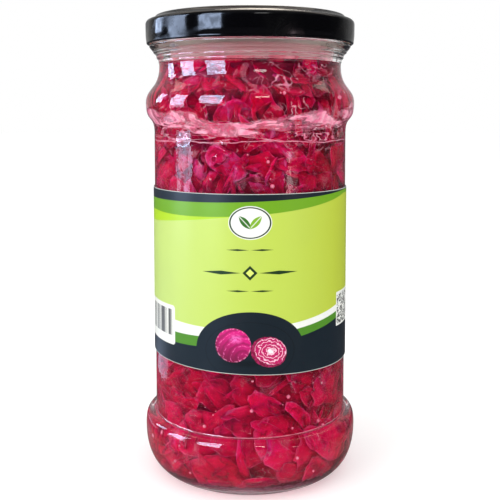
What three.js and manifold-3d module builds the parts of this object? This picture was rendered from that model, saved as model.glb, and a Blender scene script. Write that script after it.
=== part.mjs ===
// A tall clear glass jar of shredded red cabbage in brine, shut with a black metal twist-off lid and
// wrapped with a printed paper label. Millimetres, +Z up. The origin is the middle of the foot, on the
// surface that the jar stands on, and the middle of the label faces -Y.
import * as THREE from "three";
import Module from "manifold-3d";

// Driving sizes of the glass, outside.
const LID_RADIUS = 42.25;
const LID_TOP = 188.3;
const LID_EDGE = 176.9;
const FOOT = { inside: 28.8, radius: 31.2, height: 0 };
const BASE_BULGE = { radius: 44.5, height: 18.7 };
const CREASE = { radius: 40.1, height: 25.5 };
const BODY_TOP = { radius: 39.25, height: 142.0 };
const SHOULDER = { radius: 42.6, height: 153.5 };
const NECK = { radius: 37.0, height: 168.5 };
const COLLAR = { radius: 40.9, height: 176.2 };
const FINISH_RADIUS = 39.6;
const RIM_HEIGHT = 185.7;
const PUSH_UP = 2.6;

// Driving sizes of the glass, inside.
const WALL = 2.4;
const FLOOR = { radius: 31.0, height: 3.6 };
const INNER_BASE = { radius: BASE_BULGE.radius - 2.2, height: 17.6 };
const INNER_CREASE = { radius: CREASE.radius - WALL, height: 26.5 };
const INNER_TOP = { radius: BODY_TOP.radius - WALL, height: 139.5 };
const INNER_SHOULDER = { radius: SHOULDER.radius - WALL, height: 153.4 };
const INNER_NECK = { radius: NECK.radius - 2.7, height: 168.8 };
const MOUTH_RADIUS = 35.6;

// The label's band, and the gap that is left between its ends at the back.
const LABEL = { bottom: 51.0, top: 119.9, skew: 1.3, thickness: 0.25, openAngle: 0.17 };

// The contents.
const HEAP_TOP = 166.5;
const CORE_DEPTH = 3.8;
const SCRAP = { length: 27, width: 15, thickness: 1.2, sink: 4.8 };
const SCRAP_ROWS = 10;
const SCRAPS_A_ROW = 6;
const TOP_SCRAPS = 6;

const CLEARANCE = 0.3;
const SIDES = 40;
const SEED = 7;

const point = (x, y) => new THREE.Vector2(x, y);

// A profile piece between two stations where the wall is upright, such as a bulge and a waist.
function sCurve(from, to, fromPull, toPull, steps) {
  const rise = to.height - from.height;
  const curve = new THREE.CubicBezierCurve(
    point(from.radius, from.height),
    point(from.radius, from.height + fromPull * rise),
    point(to.radius, to.height - toPull * rise),
    point(to.radius, to.height),
  );
  return curve.getPoints(steps);
}

// A rounded corner that leaves one station level and meets the other upright.
function heelCurve(from, to, fromPull, toPull, steps) {
  const curve = new THREE.CubicBezierCurve(
    point(from.radius, from.height),
    point(from.radius + fromPull * (to.radius - from.radius), from.height),
    point(to.radius, to.height - toPull * (to.height - from.height)),
    point(to.radius, to.height),
  );
  return curve.getPoints(steps);
}

// The rounded lip between two radii, over the top of the glass.
function lip(outer, inner, height, steps) {
  const middle = (outer + inner) / 2;
  const half = (outer - inner) / 2;
  const drop = 1.4;
  return Array.from({ length: steps + 1 }, (_, i) => {
    const turn = (Math.PI * i) / steps;
    return point(middle + half * Math.cos(turn), height - drop + drop * Math.sin(turn));
  });
}

// The same shape as sCurve, read from the top down.
const downward = (points) => points.slice().reverse();

function outerGlass() {
  const bead = { radius: 0.35, height: 170.8, reach: 0.7 };
  const flare = sCurve(NECK, COLLAR, 0.55, 0.15, 4);
  const onFlare = (height) => {
    const above = flare.findIndex((p) => p.y > height);
    const [a, b] = [flare[above - 1], flare[above]];
    return a.x + ((b.x - a.x) * (height - a.y)) / (b.y - a.y);
  };
  const ring = [-bead.reach, 0, bead.reach].map((step, i) =>
    point(onFlare(bead.height + step) + (i === 1 ? bead.radius : 0), bead.height + step),
  );
  return [
    point(0, PUSH_UP),
    point(FOOT.inside - 4, PUSH_UP - 0.4),
    point(FOOT.inside, FOOT.height),
    ...heelCurve(FOOT, BASE_BULGE, 0.6, 0.67, 6),
    ...heelCurve(CREASE, BASE_BULGE, 0.71, 0.88, 4).reverse().slice(1),
    ...sCurve(BODY_TOP, SHOULDER, 0.6, 0.69, 5),
    ...sCurve(SHOULDER, NECK, 0.42, 0.62, 5).slice(1),
    ...[...flare.slice(1), ...ring].sort((p, q) => p.y - q.y),
    point(COLLAR.radius - 0.2, COLLAR.height + 0.5),
    point(FINISH_RADIUS, COLLAR.height + 0.9),
  ];
}

function innerGlass() {
  const mouth = point(MOUTH_RADIUS, 176);
  return [
    point(0, FLOOR.height + 1.6),
    point(FLOOR.radius * 0.6, FLOOR.height + 1.1),
    ...heelCurve(FLOOR, INNER_BASE, 0.6, 0.6, 3),
    ...sCurve(INNER_BASE, INNER_CREASE, 0.55, 0.55, 3).slice(1),
    ...sCurve(INNER_TOP, INNER_SHOULDER, 0.66, 0.56, 3),
    ...sCurve(INNER_SHOULDER, INNER_NECK, 0.3, 0.62, 3).slice(1),
    mouth,
  ];
}

// The radius of the glass's inside at a height above the floor's rounded corner.
function innerRadius(height) {
  const wall = innerGlass().slice(2);
  const above = wall.findIndex((p) => p.y >= height);
  if (above < 0) return MOUTH_RADIUS;
  if (above === 0) return wall[0].x;
  const [a, b] = [wall[above - 1], wall[above]];
  return a.x + ((b.x - a.x) * (height - a.y)) / (b.y - a.y);
}

const turned = (profile) => new THREE.LatheGeometry(profile, SIDES);

function jarGeometry() {
  return turned([
    ...outerGlass(),
    ...lip(FINISH_RADIUS, MOUTH_RADIUS, RIM_HEIGHT, 3),
    ...downward(innerGlass()),
  ]);
}

// The lid: a recessed panel inside a raised ring, a rounded shoulder and a straight skirt with a curl.
function lidGeometry() {
  const panel = 186.9;
  const metal = 0.6;
  const corner = 1.7;
  const ring = { radius: 37.6, crown: 1.6, outside: 39.6, inside: 35.4 };
  const cornerTop = 186.6;
  const inside = LID_RADIUS - 0.7;
  const curl = { inside: 41.0, height: 1.5 };
  const shoulder = [1, 2, 3].map((i) => {
    const turn = (Math.PI / 2) * (i / 3);
    return point(
      LID_RADIUS - corner + corner * Math.sin(turn),
      cornerTop - corner + corner * Math.cos(turn),
    );
  });
  return turned(
    downward([
      point(0, panel + 0.35),
      point(14, panel + 0.35),
      point(17, panel),
      point(ring.inside - 0.6, panel),
      point(ring.inside + 0.5, panel + 0.6),
      point(ring.radius - 0.8, LID_TOP - 0.15),
      point(ring.radius, LID_TOP),
      point(ring.radius + 0.8, LID_TOP - 0.2),
      point(ring.outside, cornerTop + 0.15),
      point(LID_RADIUS - corner, cornerTop),
      ...shoulder,
      point(LID_RADIUS, LID_EDGE + 0.5),
      point(LID_RADIUS - 0.4, LID_EDGE),
      point(curl.inside + 0.3, LID_EDGE),
      point(curl.inside, LID_EDGE + 0.4),
      point(curl.inside, LID_EDGE + curl.height - 0.3),
      point(inside, LID_EDGE + curl.height),
      point(inside, 184.6),
      point(inside - 1.0, cornerTop - metal),
      point(ring.outside - 1.2, cornerTop - metal + 0.1),
      point(ring.radius, LID_TOP - metal - 0.3),
      point(ring.inside, panel - metal),
      point(0, panel - metal),
    ]),
  );
}

// A thin closed solid between two grids of points, an outer face and an inner one, as plain arrays.
function sheetSolid(columns, rows, outerPoint, innerPoint) {
  const across = rows + 1;
  const count = (columns + 1) * across;
  const vertices = [];
  for (const face of [outerPoint, innerPoint])
    for (let i = 0; i <= columns; i++)
      for (let j = 0; j <= rows; j++) vertices.push(...face(i / columns, j / rows));
  const triangles = [];
  const at = (i, j) => i * across + j;
  for (let i = 0; i < columns; i++)
    for (let j = 0; j < rows; j++) {
      const [a, b, c, d] = [at(i, j), at(i + 1, j), at(i + 1, j + 1), at(i, j + 1)];
      triangles.push(a, b, c, a, c, d);
      triangles.push(count + a, count + c, count + b, count + a, count + d, count + c);
    }
  const rim = [];
  for (let i = 0; i < columns; i++) rim.push(at(i, 0));
  for (let j = 0; j < rows; j++) rim.push(at(columns, j));
  for (let i = columns; i > 0; i--) rim.push(at(i, rows));
  for (let j = rows; j > 0; j--) rim.push(at(0, j));
  rim.forEach((a, k) => {
    const b = rim[(k + 1) % rim.length];
    triangles.push(a, count + b, b, a, count + a, count + b);
  });
  return { vertices, triangles };
}

function toGeometry(solid) {
  const geometry = new THREE.BufferGeometry();
  geometry.setAttribute("position", new THREE.Float32BufferAttribute(solid.vertices, 3));
  geometry.setIndex(solid.triangles);
  return geometry;
}

// A point inside the jar by the angle from the front, the distance from the axis and the height.
const polar = (angle, radius, height) => [
  radius * Math.sin(angle),
  -radius * Math.cos(angle),
  height,
];

// The outside of the straight body, which narrows a little upwards.
function bodyRadius(height) {
  const share = (height - CREASE.height) / (BODY_TOP.height - CREASE.height);
  return THREE.MathUtils.lerp(CREASE.radius, BODY_TOP.radius, share);
}

// The band of the label. Its lower edge is cut a little askew, lower on the right.
function labelGeometry() {
  const span = 2 * Math.PI - LABEL.openAngle;
  const face = (off) => (u, v) => {
    const angle = span * (u - 0.5);
    const low = LABEL.bottom - LABEL.skew * Math.sin(angle);
    const height = low + (LABEL.top - low) * v;
    return polar(angle, bodyRadius(height) + off, height);
  };
  return toGeometry(sheetSolid(SIDES, 1, face(CLEARANCE + LABEL.thickness), face(CLEARANCE)));
}

// Repeatable random numbers from 0 to 1.
function randomSource(seed) {
  let state = seed;
  return () => {
    state = (state * 48271) % 2147483647;
    return state / 2147483647;
  };
}

// The heap's core: the inside of the glass made smaller, with an uneven side and top.
function coreSolid() {
  const levels = [6.5, 11, 17, 24, 30, 52, 74, 96, 118, 139, 147, 153, 159, 164];
  const sides = 24;
  const vertices = [];
  const triangles = [];
  const lump = (angle, height) =>
    0.9 * Math.sin(3 * angle + 0.11 * height) * Math.sin(0.17 * height + angle) +
    0.5 * Math.sin(7 * angle - 0.23 * height);
  for (const height of levels)
    for (let k = 0; k < sides; k++) {
      const angle = (2 * Math.PI * k) / sides;
      const radius = innerRadius(height) - CORE_DEPTH + lump(angle, height);
      vertices.push(...polar(angle, radius, height));
    }
  for (let i = 0; i + 1 < levels.length; i++)
    for (let k = 0; k < sides; k++) {
      const next = (k + 1) % sides;
      const [a, b] = [i * sides + k, i * sides + next];
      triangles.push(a, b, b + sides, a, b + sides, a + sides);
    }
  const bottom = vertices.length / 3;
  vertices.push(...polar(0, 0, levels[0]));
  const top = bottom + 1;
  vertices.push(...polar(0, 0, levels.at(-1) + 1.5));
  const last = (levels.length - 1) * sides;
  for (let k = 0; k < sides; k++) {
    const next = (k + 1) % sides;
    triangles.push(bottom, next, k, top, last + k, last + next);
  }
  return { vertices, triangles };
}

// A scrap of leaf that lies along the glass: oval, wavy and thin. One end stands off the core, and the
// other is sunk in it.
function scrapSolid({ angle, height, turn, length, width, wave, phase }) {
  const face = (extra) => (u, v) => {
    const along = (u - 0.5) * length;
    const narrow = 0.35 + 0.65 * Math.sin(Math.PI * (0.12 + 0.76 * u));
    const across = (v - 0.5) * width * narrow;
    const side = along * Math.cos(turn) - across * Math.sin(turn);
    const rise = along * Math.sin(turn) + across * Math.cos(turn);
    const z = THREE.MathUtils.clamp(height + rise, FLOOR.height + 2.5, HEAP_TOP + 1.5);
    const wall = innerRadius(z) - CLEARANCE - 0.35;
    const ripple = wave * (1 + Math.sin(5.5 * u + 3 * v + phase));
    const sunk = SCRAP.sink * u * u;
    return polar(angle + side / wall, wall - ripple - sunk - extra, z);
  };
  return sheetSolid(4, 2, face(0), face(SCRAP.thickness));
}

// A scrap that lies on top of the heap.
function topScrapSolid({ angle, distance, turn, length, width, phase }) {
  const face = (extra) => (u, v) => {
    const along = (u - 0.5) * length;
    const across = (v - 0.5) * width * (0.4 + 0.6 * Math.sin(Math.PI * (0.1 + 0.8 * u)));
    const x = distance * Math.sin(angle) + along * Math.cos(turn) - across * Math.sin(turn);
    const y = -distance * Math.cos(angle) + along * Math.sin(turn) + across * Math.cos(turn);
    const reach = Math.hypot(x, y);
    const limit = INNER_NECK.radius - 1.2;
    const scale = reach > limit ? limit / reach : 1;
    const z = HEAP_TOP - 0.6 + 0.9 * Math.sin(4 * u + phase) - 1.2 * u + extra;
    return [x * scale, y * scale, z];
  };
  return sheetSolid(4, 2, face(SCRAP.thickness), face(0));
}

const library = await Module();
library.setup();

function toManifold({ vertices, triangles }) {
  const mesh = new library.Mesh({
    numProp: 3,
    vertProperties: new Float32Array(vertices),
    triVerts: new Uint32Array(triangles),
  });
  return new library.Manifold(mesh);
}

function fromManifold(solid) {
  const mesh = solid.getMesh();
  const geometry = new THREE.BufferGeometry();
  geometry.setAttribute("position", new THREE.BufferAttribute(mesh.vertProperties, 3));
  geometry.setIndex(new THREE.BufferAttribute(mesh.triVerts, 1));
  return geometry;
}

// The heap of shreds: the core with every scrap joined on. Sealed hollows are filled, loose bits dropped.
function heapGeometry() {
  const random = randomSource(SEED);
  const between = (low, high) => low + (high - low) * random();
  let heap = toManifold(coreSolid());
  const lowest = 10;
  const pitch = (HEAP_TOP - 2 - lowest) / (SCRAP_ROWS - 1);
  for (let row = 0; row < SCRAP_ROWS; row++)
    for (let k = 0; k < SCRAPS_A_ROW; k++) {
      const scrap = scrapSolid({
        angle: (2 * Math.PI * (k + 0.5 * (row % 2) + between(-0.22, 0.22))) / SCRAPS_A_ROW,
        height: lowest + pitch * row + between(-2.5, 2.5),
        turn: between(-1.2, 1.2) + (random() < 0.5 ? Math.PI : 0),
        length: SCRAP.length * between(0.75, 1.3),
        width: SCRAP.width * between(0.45, 1.3),
        wave: between(0.15, 0.6),
        phase: between(0, 6),
      });
      heap = heap.add(toManifold(scrap));
    }
  for (let k = 0; k < TOP_SCRAPS; k++) {
    const scrap = topScrapSolid({
      angle: (2 * Math.PI * k) / TOP_SCRAPS,
      distance: between(8, 24),
      turn: between(0, Math.PI),
      length: SCRAP.length * between(0.8, 1.2),
      width: SCRAP.width * between(0.8, 1.2),
      phase: between(0, 6),
    });
    heap = heap.add(toManifold(scrap));
  }
  const largest = heap.decompose().reduce((a, b) => (a.volume() > b.volume() ? a : b));
  return fromManifold(largest);
}

function material(color, roughness, metalness, opacity = 1) {
  return new THREE.MeshStandardMaterial({
    color,
    roughness,
    metalness,
    opacity,
    transparent: opacity < 1,
  });
}

function named(name, geometry, look) {
  const mesh = new THREE.Mesh(geometry, look);
  mesh.name = name;
  return mesh;
}

const part = new THREE.Group();
// Lathes turn about Y, so what is turned stands up inside a group of its own.
const upright = new THREE.Group();
upright.rotation.x = Math.PI / 2;
upright.add(named("glass_jar", jarGeometry(), material(0xe6efec, 0.05, 0, 0.35)));
upright.add(named("twist_off_lid", lidGeometry(), material(0x0b0d12, 0.2, 0.3)));
part.add(upright);
part.add(named("wrap_label", labelGeometry(), material(0xcfe466, 0.45, 0)));
part.add(named("shredded_cabbage", heapGeometry(), material(0xa81446, 0.4, 0)));

export default part;
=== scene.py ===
# %% [markdown]
# # A jar of fermented red cabbage
# The jar is clear pressed glass with a pinched neck and a stepped base. It is full of shredded red
# cabbage in its own crimson brine, shut with a black enamelled lid and wrapped with a paper label.
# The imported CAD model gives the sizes. Everything below is made at that size, in metres.

# %% Load the frame
import math

import bpy
import numpy as np
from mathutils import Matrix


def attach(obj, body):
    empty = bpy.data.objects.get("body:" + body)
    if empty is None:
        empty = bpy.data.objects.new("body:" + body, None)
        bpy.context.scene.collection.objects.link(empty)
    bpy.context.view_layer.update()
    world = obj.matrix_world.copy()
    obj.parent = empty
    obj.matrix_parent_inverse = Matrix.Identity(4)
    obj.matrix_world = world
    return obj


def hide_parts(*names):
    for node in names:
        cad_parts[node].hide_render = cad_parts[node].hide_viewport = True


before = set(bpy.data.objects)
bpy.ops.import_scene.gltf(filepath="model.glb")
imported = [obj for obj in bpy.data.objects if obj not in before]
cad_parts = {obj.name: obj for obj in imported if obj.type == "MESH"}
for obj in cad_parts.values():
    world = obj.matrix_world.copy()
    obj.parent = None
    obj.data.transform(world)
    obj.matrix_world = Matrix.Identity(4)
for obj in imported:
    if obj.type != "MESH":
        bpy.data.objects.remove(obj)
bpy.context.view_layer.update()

MM = 0.001
print("nodes:", sorted(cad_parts))

# %% [markdown]
# ## The camera
# The photograph looks at the jar a little from above. The ellipses of the label's edges, the base's
# step and the lid's edge fix the height and the distance of the camera, and a small lens shift keeps
# the jar's sides nearly upright.

# %% Place the camera
CAMERA_PLACE = (0.0, -0.3405, 0.1499)
CAMERA_TILT = math.radians(7.5)
LENS_MM = 58.9

camera_data = bpy.data.cameras.new("camera")
camera_data.lens = LENS_MM
camera_data.sensor_width = 36.0
camera_data.shift_y = -0.06
camera = bpy.data.objects.new("camera", camera_data)
camera.location = CAMERA_PLACE
camera.rotation_euler = (math.pi / 2 - CAMERA_TILT, 0, 0)
bpy.context.collection.objects.link(camera)
bpy.context.scene.camera = camera
bpy.context.scene.view_settings.view_transform = "Standard"
print("lens", camera_data.lens, "mm, tilted down", round(math.degrees(CAMERA_TILT), 1), "degrees")

# %% [markdown]
# ## Node trees written as sums
# Finishes and Geometry Nodes are easier to read as sums than as wires. Socket wraps one output, and
# each operator on it adds a Math node. Tree adds any other node: its settings come first, then the
# values or links of its inputs.

# %% A socket that Python's operators work on
class Socket:
    def __init__(self, tree, socket):
        self.tree, self.socket = tree, socket

    def maths(self, operation, *terms):
        return self.tree.add("ShaderNodeMath", {"operation": operation}, dict(enumerate(terms)))

    def __rsub__(self, other):
        return self.maths("SUBTRACT", other, self)

    def __neg__(self):
        return self.maths("MULTIPLY", self, -1.0)


def teach(word, operation):
    setattr(Socket, word, lambda self, *others: self.maths(operation, self, *others))


OPERATIONS = {
    "__add__": "ADD", "__radd__": "ADD", "__sub__": "SUBTRACT", "__mul__": "MULTIPLY",
    "__rmul__": "MULTIPLY", "__truediv__": "DIVIDE", "__pow__": "POWER", "__abs__": "ABSOLUTE",
    "__mod__": "FLOORED_MODULO", "sin": "SINE", "cos": "COSINE", "root": "SQRT", "floor": "FLOOR",
    "least": "MINIMUM", "most": "MAXIMUM",
}
for word, operation in OPERATIONS.items():
    teach(word, operation)


# %% A tree that nodes are added to
def pick(sockets, key):
    if isinstance(key, int):
        return sockets[key]
    return next(s for s in sockets if s.name == key and s.enabled)


class Tree:
    def __init__(self, tree):
        self.tree = tree

    def add(self, kind, settings=None, values=None, out=0):
        node = self.tree.nodes.new(kind)
        for name, value in (settings or {}).items():
            if name == "stops":
                self.set_stops(node.color_ramp, value)
            elif name == "curve":
                self.set_curve(node.mapping, value)
            else:
                setattr(node, name, value)
        for key, value in (values or {}).items():
            socket = pick(node.inputs, key)
            if isinstance(value, Socket):
                self.tree.links.new(value.socket, socket)
            else:
                socket.default_value = value
        return Socket(self, pick(node.outputs, out))

    @staticmethod
    def set_stops(ramp, stops):
        while len(ramp.elements) < len(stops):
            ramp.elements.new(1.0)
        for element, (place, colour) in zip(ramp.elements, stops):
            element.position = place
            element.color = (*colour, 1.0)

    @staticmethod
    def set_curve(mapping, points):
        line = mapping.curves[0].points
        while len(line) < len(points):
            line.new(0.5, 0.5)
        for point, place in zip(line, points):
            point.location = place
            point.handle_type = "VECTOR"
        mapping.update()

    def vector(self, x, y, z):
        return self.add("ShaderNodeCombineXYZ", values={0: x, 1: y, 2: z})

    def parts(self, vector):
        node = self.tree.nodes.new("ShaderNodeSeparateXYZ")
        self.tree.links.new(vector.socket, node.inputs[0])
        return [Socket(self, s) for s in node.outputs]

    def noise(self, vector, scale, detail=2.0, roughness=0.5, distortion=0.0):
        values = {"Vector": vector, "Scale": scale, "Detail": detail}
        values.update({"Roughness": roughness, "Distortion": distortion})
        return self.add("ShaderNodeTexNoise", {}, values)

    def place(self):
        return self.add("ShaderNodeTexCoord", out="Object")

    def ramp(self, value, stops):
        settings = {"stops": [(spot, shade(*colour)) for spot, colour in stops.items()]}
        return self.add("ShaderNodeValToRGB", settings, {0: value}, "Color")

    def rays(self, *names):
        node = self.tree.nodes.new("ShaderNodeLightPath")
        return [Socket(self, node.outputs[f"Is {name} Ray"]) for name in names]

    def end(self, result, name="Surface"):
        self.tree.links.new(result.socket, self.tree.nodes["Material Output"].inputs[name])

    def ease(self, value, start, end):
        settings = {"interpolation_type": "SMOOTHSTEP"}
        return self.add("ShaderNodeMapRange", settings, {0: value, 1: start, 2: end})

    def blend(self, share, first, second):
        colours = [c if isinstance(c, Socket) else (*c, 1.0) for c in (first, second)]
        values = {0: share, 6: colours[0], 7: colours[1]}
        return self.add("ShaderNodeMix", {"data_type": "RGBA"}, values, 2)


def length(across, up):
    return (across * across + up * up).root()


def between(low, high, share):
    return low + (high - low) * share


# %% [markdown]
# ## Finishes
# A finish is a Principled BSDF with what stays the same all over set on its own sockets. What varies
# is fed to them as a sum of nodes, and coat puts finishes on a piece. Colours are given as they look
# on a screen, from 0 to 255, and are turned into light amounts here.

# %% Start a finish
def shade(red, green, blue):
    def light(v):
        v /= 255
        return v / 12.92 if v <= 0.04045 else ((v + 0.055) / 1.055) ** 2.4

    return tuple(light(v) for v in (red, green, blue))


class Finish(Tree):
    def __init__(self, name, **sockets):
        self.material = bpy.data.materials.new(name)
        self.material.use_nodes = True
        super().__init__(self.material.node_tree)
        self.principled = self.tree.nodes["Principled BSDF"]
        self.plain = Socket(self, self.principled.outputs[0])
        for key, value in sockets.items():
            socket = self.principled.inputs[key.replace("_", " ")]
            socket.default_value = (*value, 1.0) if socket.type == "RGBA" else value

    def feed(self, name, value):
        self.tree.links.new(value.socket, self.principled.inputs[name])

    def roughen(self, strength, distance, height):
        values = {"Strength": strength, "Distance": distance, "Height": height}
        self.feed("Normal", self.add("ShaderNodeBump", {}, values))


def clear_finish(name, tint, bending, **more):
    return Finish(name, Base_Color=tint, Roughness=0.0, IOR=bending, Transmission_Weight=1.0, **more)


def coat(piece, *finishes):
    for finish in finishes:
        piece.data.materials.append(finish.material)


# %% [markdown]
# Light has to reach what is inside the glass. A traced shadow stops at clear glass, so the glass and
# the brine let shadow rays and the rays between dull surfaces straight through, and bend only what
# the camera and the reflections see.

# %% Let light into the jar
def let_light_through(finish, surface):
    shadow, dull = finish.rays("Shadow", "Diffuse")
    clear = finish.add("ShaderNodeBsdfTransparent", {}, {0: (1.0, 1.0, 1.0, 1.0)})
    finish.end(finish.add("ShaderNodeMixShader", {}, {0: shadow.most(dull), 1: surface, 2: clear}))


# %% [markdown]
# ## The floor, the backdrop and the light
# The floor is a plain pale disc, which glossy surfaces see much darker than it is, except for a painted
# pool of light near the jar. Big soft lamps light the jar from the left, the right and above. Bright
# cards with mottled light stand round it like a window and a ceiling, and one lies on the floor. Only
# glossy surfaces see them, and they make the square highlights.

# %% Lay the floor
def mesh_object(name, vertices, faces, smooth=True):
    mesh = bpy.data.meshes.new(name)
    mesh.from_pydata([tuple(v) for v in vertices], [], [tuple(f) for f in faces])
    mesh.validate()
    mesh.update()
    if smooth:
        mesh.polygons.foreach_set("use_smooth", [True] * len(mesh.polygons))
    piece = bpy.data.objects.new(name, mesh)
    bpy.context.collection.objects.link(piece)
    return piece


FLOOR_RADIUS = 6.0
FLOOR_SIDES = 96

turns = [2 * math.pi * k / FLOOR_SIDES for k in range(FLOOR_SIDES)]
ring = [(FLOOR_RADIUS * math.cos(turn), FLOOR_RADIUS * math.sin(turn), 0) for turn in turns]
floor = mesh_object("floor", ring, [range(FLOOR_SIDES)], smooth=False)
pale_floor = Finish(
    "pale floor", Base_Color=(0.94, 0.94, 0.94), Roughness=0.8, Specular_IOR_Level=0.0,
    Emission_Color=(1.0, 1.0, 1.0), Emission_Strength=0.15,
)
where = pale_floor.parts(pale_floor.place())
# Glossy surfaces see the floor lighter near the jar: a painted pool of light.
near = pale_floor.ease(length(where[0], where[1]), 0.12, 0.065)
gloss_floor_with_painted_glow = pale_floor.blend(near, (0.08, 0.08, 0.09), (0.26, 0.26, 0.26))
dim = pale_floor.add("ShaderNodeBsdfDiffuse", {}, {"Color": gloss_floor_with_painted_glow})
gloss, dull = pale_floor.rays("Reflection", "Diffuse")
values = {0: gloss * (1 - dull), 1: pale_floor.plain, 2: dim}
pale_floor.end(pale_floor.add("ShaderNodeMixShader", {}, values))
coat(floor, pale_floor)

# %% Hang the lamps and the bright cards
AIM_HEIGHT = 0.1
CARD_DISTANCE = 1.2


def place_from(azimuth, elevation, distance):
    """Azimuth is counted from the front, negative to the left."""
    flat = distance * math.cos(elevation)
    return (
        flat * math.sin(azimuth),
        -flat * math.cos(azimuth),
        AIM_HEIGHT + distance * math.sin(elevation),
    )


def hide_from(piece, *kinds_of_ray):
    for kind in kinds_of_ray:
        setattr(piece, "visible_" + kind, False)


def lamp(name, azimuth, elevation, distance, size, watts):
    data = bpy.data.lights.new(name, "AREA")
    data.shape = "RECTANGLE"
    data.size, data.size_y = size
    data.energy = watts
    piece = bpy.data.objects.new(name, data)
    azimuth, elevation = math.radians(azimuth), math.radians(elevation)
    piece.location = place_from(azimuth, elevation, distance)
    piece.rotation_euler = (math.pi / 2 - elevation, 0, azimuth)
    hide_from(piece, "glossy", "camera", "transmission")
    bpy.context.collection.objects.link(piece)


lamp("window_light", -58, 32, 1.3, (0.9, 0.8), 6)
lamp("fill_light", 40, 30, 1.6, (1.0, 1.0), 3)
lamp("top_light", 10, 75, 1.4, (1.2, 1.0), 3)


def bright_card(name, left, right, low, high, brightness, colour=(255, 255, 255), blotches=0.4):
    """A card that spans azimuths left to right and elevations low to high, in degrees."""
    corners = [
        place_from(math.radians(a), math.radians(e), CARD_DISTANCE)
        for a, e in ((left, low), (right, low), (right, high), (left, high))
    ]
    light_card(name, corners, brightness, colour, blotches)


def table_patch(name, left, right, near, far, brightness, colour, blotches):
    """Window light that lies on the floor, from near to far in metres from the jar's middle."""
    corners = [
        (r * math.sin(math.radians(a)), -r * math.cos(math.radians(a)), 0.0015)
        for a, r in ((left, near), (right, near), (right, far), (left, far))
    ]
    light_card(name, corners, brightness, colour, blotches)


def light_card(name, corners, brightness, colour, blotches):
    piece = mesh_object(name, corners, [(0, 1, 2, 3)], smooth=False)
    glow = Finish(name, Base_Color=(0, 0, 0), Specular_IOR_Level=0.0, Emission_Strength=brightness)
    view = glow.ease(glow.noise(glow.place(), 7.0, 4.0, 0.6, 0.6), 0.44, 0.54)
    full = shade(*colour)
    dim = tuple((1 - blotches) * part for part in full)
    glow.feed("Emission Color", glow.blend(view, dim, full))
    coat(piece, glow)
    hide_from(piece, "camera", "diffuse", "transmission", "shadow")


PANE = (200, 220, 255)
bright_card("near_pane", -55, -30, 2, 36, 22, PANE, 0.55)
bright_card("middle_pane", -94, -73, 1, 32, 19, PANE, 0.55)
bright_card("far_pane", -121, -108, 6, 28, 14, PANE, 0.55)
bright_card("low_strip", -95, -71, -4.7, 1, 6.5, PANE, 0.9)
bright_card("right_strip", 42, 56, -4.7, -0.7, 5.0, (255, 226, 236), 0.8)
bright_card("small_lamp", 6, 20, 24, 32, 9)
bright_card("overhead", -100, 70, 62, 84, 3.2, (255, 240, 240))
bright_card("ceiling_glow", 110, 250, 30, 74, 2.6, (232, 222, 212))
bright_card("ceiling_lamp", 168, 186, 34, 60, 9, (255, 244, 228))
table_patch("table_patch", -136, -106, 0.15, 0.28, 1.5, PANE, 0.8)

# %% Set the backdrop
world = bpy.data.worlds.new("studio")
bpy.context.scene.world = world
world.use_nodes = True
studio = Tree(world.node_tree)
direction = studio.parts(studio.add("ShaderNodeTexCoord", out="Generated"))
behind = studio.ease(direction[1], 0.25, 0.95)
mirrored, dull, bent = studio.rays("Reflection", "Diffuse", "Transmission")
room = 0.02 + 0.46 * behind + 0.16 * studio.ease(direction[2], 0.30, 0.75)
mirror = mirrored * (1 - bent) * (1 - dull)
strength = mirror * room + (1 - mirror) * (1.0 - 0.10 * dull)
backdrop = world.node_tree.nodes["Background"]
backdrop.inputs["Color"].default_value = (1, 1, 1, 1)
world.node_tree.links.new(strength.socket, backdrop.inputs["Strength"])

# %% [markdown]
# ## The jar's profile
# The jar is a turned shape, so its section is all it needs. The section is drawn as smooth curves
# between stations where the wall is upright: the base's bulge, the crease over it, the straight body,
# the shoulder's bulge, the neck and the collar under the lid.

# %% Draw the section
FOOT = (31.2, 0.0)
BASE_BULGE = (44.5, 18.7)
CREASE = (40.1, 25.5)
BODY_TOP = (39.25, 142.0)
SHOULDER = (42.6, 153.5)
NECK = (37.0, 168.5)
COLLAR = (40.9, 176.2)
FINISH_RADIUS = 39.6
RIM_HEIGHT = 185.7
LIP_START = 184.0
MOUTH_RADIUS = 35.6
WALL = 2.4
INNER_BASE = (42.3, 17.6)
INNER_CREASE = (CREASE[0] - WALL, 26.5)
INNER_TOP = (BODY_TOP[0] - WALL, 139.5)
INNER_SHOULDER = (40.2, 153.4)
INNER_NECK = (34.3, 168.8)


def bezier(points, steps):
    t = np.linspace(0, 1, steps + 1)[:, None]
    a, b, c, d = (np.array(p, float) for p in points)
    return (1 - t) ** 3 * a + 3 * (1 - t) ** 2 * t * b + 3 * (1 - t) * t**2 * c + t**3 * d


def s_curve(start, end, start_pull, end_pull, steps):
    """Leaves one upright station and meets the next."""
    rise = end[1] - start[1]
    low = (start[0], start[1] + start_pull * rise)
    high = (end[0], end[1] - end_pull * rise)
    return bezier([start, low, high, end], steps)


def heel_curve(start, end, start_pull, end_pull, steps):
    """Leaves level and meets an upright station."""
    low = (start[0] + start_pull * (end[0] - start[0]), start[1])
    high = (end[0], end[1] - end_pull * (end[1] - start[1]))
    return bezier([start, low, high, end], steps)


def straight_run(start, end, steps):
    t = np.linspace(0, 1, steps + 1)[:, None]
    return (1 - t) * np.array(start, float) + t * np.array(end, float)


# %% The outside and the inside of the glass
def crease_fillet(size, steps):
    """The small hollow curve between the top of the bulge and the body."""
    turn = np.linspace(-math.pi / 2, -math.pi, steps + 1)
    middle = (CREASE[0] + size, CREASE[1] + size)
    return np.c_[middle[0] + size * np.cos(turn), middle[1] + size * np.sin(turn)]


COLLAR_RINGS = [(173.6, 0.22, 0.35), (171.5, 0.34, 0.45), (169.9, 0.15, 0.35)]


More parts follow.
